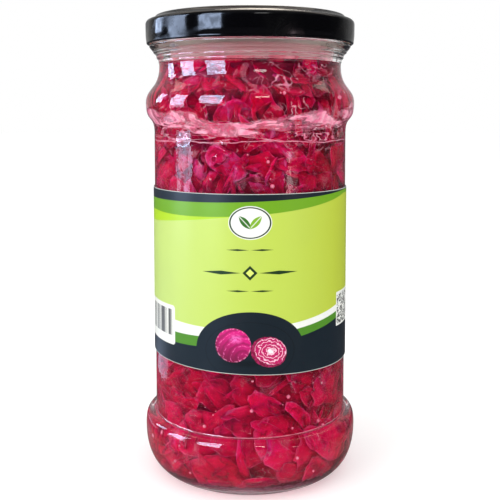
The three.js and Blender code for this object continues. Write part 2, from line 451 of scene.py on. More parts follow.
def outer_section():
    flare = s_curve(NECK, COLLAR, 0.55, 0.15, 60)
    for height, proud, spread in COLLAR_RINGS:
        flare[:, 0] += proud * np.exp(-(((flare[:, 1] - height) / spread) ** 2))
    runs = [
        np.array([(0, 2.6), (12, 2.6), (24.8, 2.2), (27.4, 0.9), (28.2, 0.25), (28.8, 0.0), (30, 0)]),
        heel_curve(FOOT, BASE_BULGE, 0.6, 0.67, 30),
        heel_curve(CREASE, BASE_BULGE, 0.71, 0.88, 40)[::-1][1:-5],
        crease_fillet(0.9, 8),
        straight_run((CREASE[0], CREASE[1] + 1.0), BODY_TOP, 60)[1:],
        s_curve(BODY_TOP, SHOULDER, 0.6, 0.69, 26)[1:],
        s_curve(SHOULDER, NECK, 0.42, 0.62, 26)[1:],
        flare[1:],
        np.array([(40.8, 176.6), (40.3, 176.95), (FINISH_RADIUS, 177.1), (FINISH_RADIUS, LIP_START)]),
    ]
    return np.vstack(runs)


def inner_section():
    runs = [
        np.array([(0, 5.2), (10, 5.1), (20, 4.5)]),
        heel_curve((31.0, 3.6), INNER_BASE, 0.6, 0.6, 22),
        s_curve(INNER_BASE, INNER_CREASE, 0.55, 0.55, 22)[1:],
        straight_run(INNER_CREASE, INNER_TOP, 42)[1:],
        s_curve(INNER_TOP, INNER_SHOULDER, 0.66, 0.56, 22)[1:],
        s_curve(INNER_SHOULDER, INNER_NECK, 0.3, 0.62, 22)[1:],
        s_curve(INNER_NECK, (MOUTH_RADIUS, 176), 0.4, 0.4, 10)[1:],
        np.array([(MOUTH_RADIUS, 180), (MOUTH_RADIUS, LIP_START)]),
    ]
    return np.vstack(runs)


INSIDE = inner_section()


def inner_radius(height):
    wall = INSIDE[3:]
    return np.interp(height, wall[:, 1], wall[:, 0])


def lip_section(steps=12):
    turn = np.linspace(0, math.pi, steps + 1)[1:-1]
    middle = (FINISH_RADIUS + MOUTH_RADIUS) / 2
    half = (FINISH_RADIUS - MOUTH_RADIUS) / 2
    height = LIP_START + (RIM_HEIGHT - LIP_START) * np.sin(turn)
    return np.c_[middle + half * np.cos(turn), height]


print("outer section:", len(outer_section()), "points, inner section:", len(INSIDE), "points")

# %% [markdown]
# ## Turning a section
# A section that starts and ends on the axis is turned into a closed solid. An uneven() rule can push
# the wall in or out a little, as real pressed glass is never quite even inside.

# %% Turn a section into a solid
SIDES = 160


def round_the_jar(radius, angle, height):
    """A place in metres, from millimetres and an angle counted from the front."""
    return (radius * math.sin(angle) * MM, -radius * math.cos(angle) * MM, height * MM)


def turned(name, section, sides=SIDES, uneven=None):
    section = np.array(section, float)
    angles = 2 * math.pi * np.arange(sides) / sides
    vertices, rings = [], []
    for index, (radius, height) in enumerate(section):
        if radius < 1e-6:
            rings.append([len(vertices)])
            vertices.append((0, 0, height * MM))
            continue
        rings.append(list(range(len(vertices), len(vertices) + sides)))
        for angle in angles:
            r = radius + (uneven(index, angle, height) if uneven else 0)
            vertices.append(round_the_jar(r, angle, height))
    faces = []
    for low, high in zip(rings, rings[1:]):
        for k in range(sides):
            n = (k + 1) % sides
            if len(low) == 1:
                faces.append((low[0], high[n], high[k]))
            elif len(high) == 1:
                faces.append((low[k], low[n], high[0]))
            else:
                faces.append((low[k], low[n], high[n], high[k]))
    return mesh_object(name, vertices, faces)


# %% Turn the glass
OUTSIDE = outer_section()
LIP = lip_section()
glass_section = np.vstack([OUTSIDE, LIP, INSIDE[::-1]])
first_inner = len(OUTSIDE) + len(LIP)


def hand_pressed(index, angle, height):
    """The inside of the wall is a little wavy, and the outside hardly at all."""
    wave = math.sin(3 * angle + 0.16 * height) * math.sin(0.21 * height - 2 * angle)
    wave += 0.6 * math.sin(7 * angle - 0.33 * height + 1.3)
    return (0.10 if index > first_inner else 0.012) * wave


jar = turned("clear_glass_jar", glass_section, SIDES, hand_pressed)
print("glass:", len(jar.data.polygons), "faces")

# %% [markdown]
# Clear soda-lime glass bends light by 1.5 and has a faint grey-green tint that shows only in its
# thick foot, whose standing ring is stippled and scatters light. Where it is wet with brine inside,
# it hardly mirrors, so that side has its own finish.

# %% Finish the glass
GLASS_TINT = (0.985, 0.995, 0.99)
NO_MIRROR = (0.0, 0.0, 0.0)
BRINE_TOP = 169.2

glass = clear_finish("clear glass", GLASS_TINT, 1.5)
place = glass.place()
foot = glass.ease(glass.parts(place)[2] / MM, 2.0, 0.4)
frost = foot * (0.25 + 0.5 * glass.noise(place, 900.0, 2.0))
glass.roughen(0.6, 0.0003, glass.noise(place, 130.0, 3.0, 0.55))
pale = glass.add("ShaderNodeBsdfDiffuse", {}, {"Color": (*shade(222, 220, 214), 1.0)})
surface = glass.add("ShaderNodeMixShader", {}, {0: frost, 1: glass.plain, 2: pale})
let_light_through(glass, surface)
wet_glass = clear_finish("glass against brine", GLASS_TINT, 1.5, Specular_Tint=NO_MIRROR)
let_light_through(wet_glass, wet_glass.plain)
coat(jar, glass, wet_glass)
for face in jar.data.polygons:
    if face.index // SIDES >= first_inner and face.center.z < BRINE_TOP * MM:
        face.material_index = 1
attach(jar, "root")
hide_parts("glass_jar")

# %% [markdown]
# ## The brine
# The brine fills the jar round the cabbage up to the neck. Its outside reaches a little way into the
# glass, so that no gap of air is left between the two. It takes up green and blue light, so the
# deeper one looks into it, the redder it gets, and it is a little cloudy.

# %% Pour the brine
REACH = 0.15


def brine_section():
    wall = INSIDE[(INSIDE[:, 1] < BRINE_TOP) | (INSIDE[:, 0] < 31)].copy()
    grow = np.zeros_like(wall)
    along = np.gradient(wall, axis=0)
    along /= np.linalg.norm(along, axis=1)[:, None]
    grow[:, 0], grow[:, 1] = along[:, 1], -along[:, 0]
    wall += REACH * grow
    wall[0, 0] = 0
    edge = inner_radius(BRINE_TOP)
    surface = [
        (edge + REACH, BRINE_TOP + 0.9),
        (edge - 0.15, BRINE_TOP + 0.75),
        (edge - 0.7, BRINE_TOP + 0.3),
        (edge - 1.6, BRINE_TOP + 0.06),
        (edge - 3.0, BRINE_TOP),
        (15, BRINE_TOP),
        (0, BRINE_TOP),
    ]
    return np.vstack([wall, surface])


def as_the_glass(index, angle, height):
    return hand_pressed(first_inner + 1, angle, height)


brine = turned("brine", brine_section(), SIDES, as_the_glass)
crimson = clear_finish("crimson brine", (1.0, 1.0, 1.0), 1.33, Specular_Tint=NO_MIRROR)
let_light_through(crimson, crimson.plain)
values = {"Color": (0.94, 0.02, 0.50, 1.0), "Density": 270.0}
soak = crimson.add("ShaderNodeVolumeAbsorption", {}, values)
values = {"Color": (1.0, 0.03, 0.20, 1.0), "Density": 31.0, "Anisotropy": 0.2}
cloud = crimson.add("ShaderNodeVolumeScatter", {}, values)
crimson.end(crimson.add("ShaderNodeAddShader", {}, {0: soak, 1: cloud}), "Volume")
coat(brine, crimson)
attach(brine, "root")
print("brine up to", BRINE_TOP, "mm")

# %% [markdown]
# ## The heap of cabbage
# Fermented cabbage is a packed heap of soft leaf scraps and strips. A core, dark with painted shade,
# fills the middle, and Geometry Nodes lay the scraps that show. Each scrap starts as a thin flat block
# of a few cells. It gets a rounded, torn outline and a ripple, and is then wrapped round the jar's
# axis just inside the glass, by its angle, its height and its depth behind the glass.

# %% The core of the heap
HEAP_LOW = 4.7
HEAP_HIGH = 167.6
CORE_DEPTH = 6.4


def core_section():
    heights = np.linspace(HEAP_LOW + 2.5, HEAP_HIGH + 0.5, 70)
    depth = CORE_DEPTH - 3.0 * np.clip((heights - 156) / 8, 0, 1)
    side = np.c_[np.minimum(inner_radius(heights), 38.6) - depth, heights]
    return np.vstack([[(0, HEAP_LOW + 2.0)], side, [(29, HEAP_HIGH + 1), (0, HEAP_HIGH + 1)]])


def lumpy(index, angle, height):
    wave = math.sin(5 * angle + 0.22 * height) * math.sin(0.31 * height - 3 * angle)
    return 1.2 * wave + 0.5 * math.sin(11 * angle + 0.5 * height)


core = turned("cabbage_core", core_section(), 96, lumpy)

# %% Geometry Nodes that lay scraps along the glass
RADIUS_UNIT = 50.0
HEIGHT_UNIT = 200.0


def named(tree, name, kind="FLOAT"):
    return tree.add("GeometryNodeInputNamedAttribute", {"data_type": kind}, {"Name": name})


def keep(tree, geometry, name, value, kind="FLOAT"):
    settings = {"data_type": kind, "domain": "POINT"}
    values = {"Geometry": geometry, "Name": name, "Value": value}
    return tree.add("GeometryNodeStoreNamedAttribute", settings, values)


def glass_curve(tree, height):
    """The inside radius of the glass, in metres, at a height in metres."""
    heights = np.concatenate([np.linspace(3.7, 32, 18), np.linspace(136, 176, 22)])
    points = [(h / HEIGHT_UNIT, float(inner_radius(h)) / RADIUS_UNIT) for h in heights]
    values = {"Factor": 1.0, "Value": height / (HEIGHT_UNIT * MM)}
    return tree.add("ShaderNodeFloatCurve", {"curve": points}, values) * (RADIUS_UNIT * MM)


SCRAP_INPUTS = [
    "Columns", "Rows", "Lowest", "Highest", "Length", "Width", "Thickness", "Nearest", "Deepest",
    "Tuck", "Ripple", "Turn", "Tone from", "Tone to", "Seed", "Material",
]
INPUT_KINDS = {"Columns": "Int", "Rows": "Int", "Count": "Int", "Seed": "Int", "Material": "Material"}


def open_tree(name, labels):
    group = bpy.data.node_groups.new(name, "GeometryNodeTree")
    group.interface.new_socket("Geometry", in_out="OUTPUT", socket_type="NodeSocketGeometry")
    for label in labels:
        kind = "NodeSocket" + INPUT_KINDS.get(label, "Float")
        group.interface.new_socket(label, in_out="INPUT", socket_type=kind)
    tree = Tree(group)
    entry = group.nodes.new("NodeGroupInput")
    given = {s.name: Socket(tree, s) for s in entry.outputs if s.name}
    return group, tree, given


def close_tree(group, tree, geometry, material):
    geometry = tree.add("GeometryNodeSetShadeSmooth", {}, {0: geometry})
    values = {"Geometry": geometry, "Material": material}
    geometry = tree.add("GeometryNodeSetMaterial", {}, values)
    group.links.new(geometry.socket, group.nodes.new("NodeGroupOutput").inputs[0])
    return group


def set_out(tree, points, shape, **more):
    values = {"Points": points, "Instance": shape, **more}
    pieces = tree.add("GeometryNodeInstanceOnPoints", {}, values)
    return tree.add("GeometryNodeRealizeInstances", {}, {"Geometry": pieces})


def chance(tree, low, high, seed, extra):
    """A random number for each scrap or bubble."""
    values = {2: low, 3: high, 8: seed + extra}
    return tree.add("FunctionNodeRandomValue", {"data_type": "FLOAT"}, values, 1)


# %% Where each scrap lies
def lay_out(tree, given):
    index = tree.add("GeometryNodeInputIndex")
    column = index % given["Columns"]
    row = (index / given["Columns"]).floor()
    seed = given["Seed"]
    stagger = 0.5 * (row % 2.0)
    turn = (column + stagger + chance(tree, -0.45, 0.45, seed, 1)) / given["Columns"]
    rise = (row + 0.5 + chance(tree, -0.45, 0.45, seed, 2)) / given["Rows"]
    points = tree.add("GeometryNodePoints", {}, {"Count": given["Columns"] * given["Rows"]})
    draws = {
        "size": (0.62, 1.38, 4), "slim": (0.75, 1.25, 5), "depth": (0.0, 1.0, 6), "tone": (0.0, 1.0, 7),
        "phase": (0.0, 60.0, 8), "arch": (-1.0, 1.0, 9), "top": (-2.5, 2.5, 10),
    }
    facts = {name: chance(tree, low, high, seed, n) for name, (low, high, n) in draws.items()}
    facts["angle"] = 2 * math.pi * turn
    facts["height"] = between(given["Lowest"], given["Highest"], rise)
    facts["lean"] = chance(tree, -1.0, 1.0, seed, 3) * given["Turn"]
    for name, value in facts.items():
        points = keep(tree, points, name, value)
    return points


# %% The shape of one scrap, and its place in the jar
def shape_scrap(tree, given):
    a, b, c = (2 * part for part in tree.parts(named(tree, "local", "FLOAT_VECTOR")))
    phase = named(tree, "phase")
    round_a = a * (1 - 0.36 * b * b).root()
    round_b = b * (1 - 0.36 * a * a).root()
    tear_a = tree.noise(tree.vector(round_a + phase, round_b, 0.0), 0.95, 2.5) - 0.5
    tear_b = tree.noise(tree.vector(round_a, round_b + phase, 3.7), 0.95, 2.5) - 0.5
    half_length = given["Length"] * named(tree, "size") / 2
    half_width = given["Width"] * named(tree, "slim") * named(tree, "size") / 2
    x = (round_a + tear_a) * half_length
    y = (round_b + tear_b) * half_width + named(tree, "arch") * 0.35 * a * a * half_width
    lean = named(tree, "lean")
    across = x * lean.cos() - y * lean.sin()
    up = x * lean.sin() + y * lean.cos()
    ceiling = given["Highest"] + MM * named(tree, "top")
    height = named(tree, "height") + up
    height = ceiling - abs(ceiling - height)
    height = HEAP_LOW * MM + abs(height - HEAP_LOW * MM)
    margin = abs(a).most(abs(b))
    fold = tree.noise(tree.vector(0.8 * a + phase, 0.8 * b, phase), 1.4, 2.0) - 0.5
    depth = between(given["Nearest"], given["Deepest"], named(tree, "depth"))
    depth = depth + given["Tuck"] * (1 + a) / 2
    cup = named(tree, "top") * 0.4
    depth = depth + given["Ripple"] * (0.5 + 2 * fold + cup * (b * b + 0.4 * a * b))
    depth = depth.most(0.0004)
    depth = depth + given["Thickness"] * (1 - c * (1 - 0.7 * margin**4.0)) / 2
    radius = glass_curve(tree, height) - depth
    angle = named(tree, "angle") + across / radius
    return tree.vector(radius * angle.sin(), -(radius * angle.cos()), height), a, b, margin


# %% Build the tree that does both
def scrap_tree(name, cells):
    group, tree, given = open_tree(name, SCRAP_INPUTS)
    cube = {"Size": (1, 1, 1), "Vertices X": cells[0], "Vertices Y": cells[1], "Vertices Z": 2}
    block = tree.add("GeometryNodeMeshCube", {}, cube)
    block = keep(tree, block, "local", tree.add("GeometryNodeInputPosition"), "FLOAT_VECTOR")
    scraps = set_out(tree, lay_out(tree, given), block)
    place, a, b, margin = shape_scrap(tree, given)
    tone = between(given["Tone from"], given["Tone to"], named(tree, "tone"))
    phase = named(tree, "phase")
    scraps = keep(tree, scraps, "hue", tone)
    scraps = keep(tree, scraps, "margin", margin)
    scraps = keep(tree, scraps, "grain", tree.vector(a + phase, b, phase), "FLOAT_VECTOR")
    scraps = tree.add("GeometryNodeSetPosition", {}, {"Geometry": scraps, "Position": place})
    return close_tree(group, tree, scraps, given["Material"])


# %% Run a tree and keep its plain mesh
def grown(name, group, values, spare=()):
    holder = bpy.data.objects.new(name + "_holder", bpy.data.meshes.new(name + "_holder"))
    bpy.context.collection.objects.link(holder)
    modifier = holder.modifiers.new("nodes", "NODES")
    modifier.node_group = group
    places = {item.name: item.identifier for item in group.interface.items_tree}
    for label, value in values.items():
        modifier[places[label]] = value
    seen = holder.evaluated_get(bpy.context.evaluated_depsgraph_get())
    mesh = bpy.data.meshes.new_from_object(seen)
    holder.modifiers.remove(modifier)
    bpy.data.objects.remove(holder)
    for spent in spare:
        if spent in mesh.attributes:
            mesh.attributes.remove(mesh.attributes[spent])
    piece = bpy.data.objects.new(name, mesh)
    bpy.context.collection.objects.link(piece)
    print(name, len(mesh.polygons), "faces")
    return piece


SPARE = ("local", "angle", "height", "lean", "size", "slim", "depth", "tone", "phase", "arch", "top")

# %% [markdown]
# ### The look of the cabbage
# Soaked red cabbage is crimson to magenta, with paler scraps where the leaf was white, thin pale
# margins where it was cut, and faint ribs. The flesh is soft and lets some light in.

# %% Finish the scraps
def hairlines(tree, field, width):
    """Thin lines where a smooth field passes its middle value."""
    return tree.ease(abs(field - 0.5), width, 0.3 * width)


def cabbage_finish(name):
    flesh = Finish(
        name, Roughness=0.42, Specular_IOR_Level=0.12, Subsurface_Weight=0.7,
        Subsurface_Radius=(1.0, 0.08, 0.34), Subsurface_Scale=0.0055,
    )
    hue = flesh.add("ShaderNodeAttribute", {"attribute_name": "hue"}, out="Fac")
    margin = flesh.add("ShaderNodeAttribute", {"attribute_name": "margin"}, out="Fac")
    grain = flesh.add("ShaderNodeAttribute", {"attribute_name": "grain"}, out="Vector")
    place = flesh.place()
    along, across, _ = flesh.parts(grain)
    cloud = flesh.noise(grain, 1.1, 3.0, 0.55, 0.6)
    rib = flesh.noise(flesh.vector(along * 0.5, across * 4.0, 0.0), 1.6, 2.0)
    swirl = flesh.noise(place, 165.0, 2.5, 0.5, 1.4)
    crumb = flesh.noise(place, 620.0, 3.0, 0.6, 0.6)
    crease = flesh.noise(place, 260.0, 2.0, 0.5, 1.8)
    low = flesh.ease(flesh.parts(place)[2], 0.085, 0.055)
    hue = hue + (0.56 - hue) * (0.36 * low)
    shifted = hue + 0.50 * (cloud - 0.5) + 0.62 * (swirl - 0.5) + 0.16 * (crumb - 0.5)
    stops = {
        0.00: (52, 0, 18), 0.22: (130, 0, 44), 0.42: (194, 0, 70), 0.60: (230, 0, 80),
        0.76: (246, 6, 96), 0.90: (252, 52, 126), 1.00: (252, 150, 186),
    }
    colour = flesh.ramp(shifted, stops)
    colour = flesh.blend(flesh.ease(rib, 0.56, 0.74) * 0.14, colour, shade(236, 88, 128))
    creases = hairlines(flesh, crease, 0.018) * flesh.ease(cloud, 0.46, 0.62)
    colour = flesh.blend(creases * 0.18, colour, shade(244, 124, 156))
    edge = flesh.ease(margin + 0.14 * (cloud - 0.5), 0.90, 1.0)
    colour = flesh.blend(edge * 0.29, colour, shade(244, 134, 160))
    shadowed = flesh.ease(swirl, 0.46, 0.28)
    colour = flesh.blend(shadowed * 0.52, colour, shade(84, 0, 30))
    flesh.feed("Base Color", colour)
    flesh.roughen(0.8, 0.0011, 0.4 * rib + 0.6 * swirl + 0.06 * crumb)
    return flesh


soft_cabbage = cabbage_finish("soaked cabbage")
# The core's dark crimson is painted shade deep inside the heap.
middle_in_painted_shade = Finish("heap's middle in painted shade", Roughness=0.5)
patches = middle_in_painted_shade.noise(middle_in_painted_shade.place(), 160.0, 3.0)
stops = {0.25: (70, 0, 22), 0.5: (120, 0, 38), 0.8: (164, 6, 58)}
middle_in_painted_shade.feed("Base Color", middle_in_painted_shade.ramp(patches, stops))
coat(core, middle_in_painted_shade)
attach(core, "root")
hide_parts("shredded_cabbage")

# %% Lay the scraps and the strips
broad = scrap_tree("broad_scraps", (9, 6))
small = scrap_tree("small_scraps", (7, 5))


def scraps(name, group, **differences):
    values = {
        "Thickness": 0.0010, "Nearest": 0.0003, "Tuck": 0.0030, "Ripple": 0.0018, "Turn": 3.1,
        "Material": soft_cabbage.material,
    }
    values.update({key.replace("_", " "): value for key, value in differences.items()})
    piece = grown(name, group, values, SPARE)
    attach(piece, "root")


scraps(
    "upper_leaf_scraps", small, Columns=21, Rows=9, Lowest=0.108, Highest=0.1706, Length=0.0118,
    Width=0.0082, Thickness=0.0009, Nearest=0.0004, Deepest=0.0022, Tuck=0.0034, Ripple=0.0026,
    Tone_from=0.14, Tone_to=1.02, Seed=11,
)
scraps(
    "upper_broad_scraps", broad, Columns=8, Rows=5, Lowest=0.112, Highest=0.1698, Length=0.0180,
    Width=0.0105, Deepest=0.0014, Tuck=0.0036, Ripple=0.0022, Tone_from=0.46, Tone_to=0.98, Seed=19,
)
scraps(
    "lower_leaf_scraps", broad, Columns=16, Rows=8, Lowest=0.0042, Highest=0.060, Length=0.0195,
    Width=0.0105, Deepest=0.0018, Turn=0.9, Tone_from=0.36, Tone_to=0.84, Seed=13,
)
scraps(
    "middle_leaf_scraps", small, Columns=12, Rows=5, Lowest=0.056, Highest=0.114, Length=0.0190,
    Width=0.0130, Nearest=0.0004, Deepest=0.0020, Tuck=0.0040, Tone_from=0.25, Tone_to=0.9, Seed=17,
)
# The inner and the deep layers take darker tones than the front ones: painted shade under the front
# scraps.
scraps(
    "inner_leaf_scraps", small, Columns=20, Rows=20, Lowest=0.0042, Highest=0.1706, Length=0.0150,
    Width=0.0100, Nearest=0.0010, Deepest=0.0036, Tone_from=0.16, Tone_to=0.80, Seed=23,
)
scraps(
    "deep_leaf_scraps", small, Columns=15, Rows=16, Lowest=0.0042, Highest=0.166, Length=0.019,
    Width=0.0150, Thickness=0.0011, Nearest=0.0032, Deepest=0.0054, Tuck=0.0020, Ripple=0.0010,
    Tone_from=0.10, Tone_to=0.54, Seed=37,
)
scraps(
    "cut_strips", small, Columns=16, Rows=18, Lowest=0.0046, Highest=0.1712, Length=0.020,
    Width=0.0034, Thickness=0.0012, Deepest=0.0024, Ripple=0.0016, Tone_from=0.24, Tone_to=0.90,
    Seed=51,
)
scraps(
    "pale_ribs", small, Columns=8, Rows=8, Lowest=0.010, Highest=0.1690, Length=0.015,
    Width=0.0040, Thickness=0.0009, Nearest=0.0004, Deepest=0.0016, Tuck=0.0026, Ripple=0.0020,
    Tone_from=0.62, Tone_to=0.94, Seed=91,
)

# %% [markdown]
# ### Pale marks just inside the glass
# Where pockets of air part the leaf from the glass, a pale sheet just inside the wall paints their
# reflection: a ragged band where the shoulder's bulge meets the body, with strands, strokes and small
# patches. A wavy line under it is a painted highlight, wandering hairlines are painted glints, and
# along the crease over the base lie a painted highlight line and a painted shadow line. It is one
# sheet inside the wall, all but clear, that fades in and out by the height and by noise. A second
# sheet is a pinkish wash in the neck.

# %% A sheet just inside the wall
def clinging_sheet(name, low, high, gap, sides=180, steps=110):
    heights = np.linspace(low, high, steps + 1)
    piece = turned(name, np.c_[inner_radius(heights) - gap, heights], sides)
    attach(piece, "root")
    print(name, "from", low, "to", high, "mm")
    return piece


# %% Finish the film in the brine
BAND_HEIGHT = 144.2
BAND_HALF = 3.1
WAVY_LINE = 139.0
PALE_LINE = 24.7
DARK_LINE = 23.7

film = Finish("pale painted reflection at air pockets", Roughness=0.3, Specular_IOR_Level=0.25)
noise, ease = film.noise, film.ease
place = film.place()
x, y, z = film.parts(place)
rise = z / MM
around = film.vector(x, y, 4.0 * z)
above = ease(rise, 112.0, 146.0)
ragged = noise(place, 95.0, 4.0, 0.62, 0.8)
slow = noise(place, 34.0, 2.0)
streak = noise(place, 420.0, 3.0, 0.6)

# The band, its fringe, the strands, the strokes and the patches are painted reflection where air parts
# the leaf from the glass.
side = x / (40 * MM)
band_middle = BAND_HEIGHT + 6.0 * side * side + 7.0 * (slow - 0.5)
from_middle = (rise - band_middle) / BAND_HALF
torn = noise(around, 74.0, 3.0, 0.5, 0.7) - 0.17 * from_middle * from_middle
band = ease(torn, 0.42, 0.44) * (0.40 + 0.60 * ease(ragged, 0.40, 0.54))
painted_reflection_fringe = ease(torn + 0.10, 0.40, 0.50) * 0.34
# The wavy line is a painted highlight on the curve of the inner wall.
wave = WAVY_LINE + 3.4 * (slow - 0.5) + 1.6 * (ragged - 0.5)
wavy_line = ease(abs(rise - wave), 0.30, 0.10)
# The hairlines are painted glints along the edges of the air pockets.
painted_glints = hairlines(film, noise(place, 100.0, 1.0, 0.5, 1.4), 0.013)
painted_glints = painted_glints * ease(noise(place, 60.0, 2.0), 0.50, 0.62) * (0.25 + 0.75 * above)
strand = ease(abs(noise(around, 62.0, 3.0, 0.5, 1.0) - 0.5), 0.020, 0.008)
strand = strand * ease(abs(rise - 143.0), 6.0, 3.0)
stroke = hairlines(film, noise(place, 150.0, 1.0, 0.5, 1.0), 0.014)
stroke = stroke * ease(noise(place, 240.0, 1.0), 0.54, 0.60) * above
patch = ease(noise(place, 150.0, 1.0, 0.5, 0.6), 0.64, 0.68) * (0.10 + 0.20 * above)
# Along the crease over the base, the pale line is a painted highlight and the dark line is painted
# shade.
pale_line = ease(abs(rise - PALE_LINE), 0.34, 0.12)
dark_line = ease(abs(rise - DARK_LINE), 0.60, 0.20)

tint = film.blend(ease(streak, 0.3, 0.7), shade(246, 132, 166), shade(255, 204, 214))
tint = film.blend(dark_line, tint, shade(92, 0, 28))
clear = (band * 0.9).most(wavy_line * 0.6).most(painted_glints * 0.66).most(patch * 0.55)
clear = clear.most(strand * 0.7).most(stroke * 0.4).most(painted_reflection_fringe)
clear = clear.most(pale_line * 0.62).most(dark_line * 0.6)
film.feed("Base Color", tint)
film.feed("Alpha", clear)
air_pocket_reflection_sheet = clinging_sheet("air_pocket_reflection_sheet", 8.0, 168.4, 0.22)
coat(air_pocket_reflection_sheet, film)

# %% Finish the wash in the neck
wash = Finish("pink wash in the neck", Roughness=0.18)
place = wash.place()
x, y, z = wash.parts(place)
drip = wash.noise(wash.vector(x, y, 0.0), 90.0, 3.0)
mottle = wash.noise(place, 150.0, 3.0)
reach = 170.0 + 7.0 * (drip - 0.35)
strength = wash.ease(z / MM, reach, reach - 1.5) * wash.ease(mottle, 0.3, 0.6)
tint = wash.blend(mottle, shade(196, 46, 84), shade(230, 132, 146))
wash.feed("Base Color", tint)
wash.feed("Alpha", 0.34 + 0.5 * strength)
neck_wash = clinging_sheet("neck_wash", 169.8, 176.6, 0.12, 160, 12)
coat(neck_wash, wash)

# %% [markdown]
# ### Bubbles
# A few small bubbles of fermentation gas sit between the leaf and the glass. Geometry Nodes scatter
# them by angle and height, each a small ball of its own size.

# %% Scatter the bubbles
BUBBLE_INPUTS = ["Count", "Lowest", "Highest", "Smallest", "Largest", "Seed", "Material"]


def bubble_tree():
    group, tree, given = open_tree("bubbles", BUBBLE_INPUTS)
    seed = given["Seed"]
    angle = chance(tree, -math.pi, math.pi, seed, 1)
    height = between(given["Lowest"], given["Highest"], chance(tree, 0.0, 1.0, seed, 2))
    share = chance(tree, 0.0, 1.0, seed, 3)
    size = between(given["Smallest"], given["Largest"], share**3.0)
    radius = glass_curve(tree, height) - size * 1.1
    place = tree.vector(radius * angle.sin(), -(radius * angle.cos()), height)
    points = tree.add("GeometryNodePoints", {}, {"Count": given["Count"], "Position": place})
    ball = tree.add("GeometryNodeMeshUVSphere", {}, {"Segments": 8, "Rings": 6, "Radius": 1.0})
    balls = set_out(tree, points, ball, Scale=tree.vector(size, size, size))
    return close_tree(group, tree, balls, given["Material"])


# The bubbles are opaque, and their pale pink is painted reflection: the light a gas bubble in brine
# reflects.
gas = Finish("bubble in brine", Roughness=0.12, Specular_IOR_Level=0.9)
mottle = gas.noise(gas.place(), 300.0)
bubble_painted_reflection = gas.blend(mottle, shade(214, 60, 108), shade(248, 176, 192))
gas.feed("Base Color", bubble_painted_reflection)
bubbles = grown("bubbles", bubble_tree(), {
    "Count": 260, "Lowest": 0.008, "Highest": 0.160, "Smallest": 0.00022, "Largest": 0.0009,
    "Seed": 5, "Material": gas.material,
})
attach(bubbles, "root")

# %% [markdown]
# ## The lid
# The lid is tinplate: black enamel outside and cream lacquer inside. Its top has a raised ring round a
# sunk panel, and its skirt ends in a small curl.

# %% Press the lid
LID_RADIUS = 42.25
LID_TOP = 188.3
LID_EDGE = 176.9
PANEL = 186.9


def arc(centre, radius, start, end, steps=6):
    turn = np.radians(np.linspace(start, end, steps + 1))
    return np.c_[centre[0] + radius * np.cos(turn), centre[1] + radius * np.sin(turn)]


def lid_outside():
    runs = [
        [(0, PANEL + 0.35), (13.5, PANEL + 0.35), (14.4, PANEL + 0.30), (16.4, PANEL + 0.05)],
        [(17.3, PANEL), (34.4, PANEL), (35.2, PANEL + 0.08)],
        s_curve((35.9, PANEL + 0.35), (36.6, LID_TOP - 0.35), 0.3, 0.5, 4),
        arc((37.6, LID_TOP - 0.8), 0.8, 150, 35, 8),
        [(38.9, PANEL + 0.45), (39.6, PANEL - 0.1)],
        arc((LID_RADIUS - 1.9, 184.7), 1.9, 80, 0, 8),
        s_curve((LID_RADIUS, 181.0), (LID_RADIUS - 0.25, LID_EDGE + 0.75), 0.5, 0.15, 8),
        arc((LID_RADIUS - 0.87, LID_EDGE + 0.62), 0.62, -8, -180, 10),
    ]
    return np.vstack(runs)


def lid_inside():
    points = [
        (41.0, LID_EDGE + 1.3), (41.2, LID_EDGE + 1.6), (41.5, LID_EDGE + 1.8),
        (41.65, LID_EDGE + 2.4), (41.7, 183.9), (41.2, 185.1), (40.3, 185.95), (39.6, 186.1),
        (38.4, 186.5), (37.6, 187.2), (36.9, 187.2), (36.2, 186.6), (35.2, 186.2), (0, 186.2),
    ]
    return np.array(points)


lid = turned("enamelled_lid", np.vstack([lid_outside(), lid_inside()])[::-1])
enamel = Finish("black enamel", Base_Color=shade(4, 4, 6), IOR=1.5, Specular_IOR_Level=0.30)
where = enamel.place()
peel = enamel.noise(where, 900.0, 2.0)
smudge = enamel.noise(where, 55.0, 3.0, 0.6, 0.8)
enamel.feed("Roughness", 0.08 + 0.22 * enamel.ease(smudge, 0.42, 0.66))
relief = 0.012 * peel + enamel.noise(where, 75.0, 2.0)
enamel.roughen(0.6, 0.0005, relief)
lacquer = Finish("cream lacquer", Roughness=0.32)
tint = lacquer.noise(lacquer.place(), 120.0, 2.0)
cream = lacquer.blend(tint, shade(206, 196, 184), shade(226, 218, 206))
lacquer.feed("Base Color", cream)
coat(lid, enamel, lacquer)
inside_rings = len(lid_inside())
for face in lid.data.polygons:
    face.material_index = 1 if face.index // SIDES < inside_rings else 0
lid.data.set_sharp_from_angle(angle=math.radians(50))
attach(lid, "root")
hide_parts("twist_off_lid")
print("lid:", len(lid.data.polygons), "faces")

# %% [markdown]
# ## The label
# The label is a band of semi-gloss paper whose ends stop short of each other at the back. Its lower
# edge is cut a little askew. The print is made of fields of colour, each on one side of a smooth line
# that is given by its heights at the left, the middle and the right of what shows from the front.

# %% Wrap the label
LABEL_RADIUS = 39.9
LABEL_GAP = 0.3
LABEL_THICKNESS = 0.25
LABEL_LOW, LABEL_HIGH, LABEL_SKEW = 51.0, 119.9, 1.3
LABEL_OPEN = 0.17


def body_radius(height):
    return np.interp(height, (CREASE[1], BODY_TOP[1]), (CREASE[0], BODY_TOP[0]))


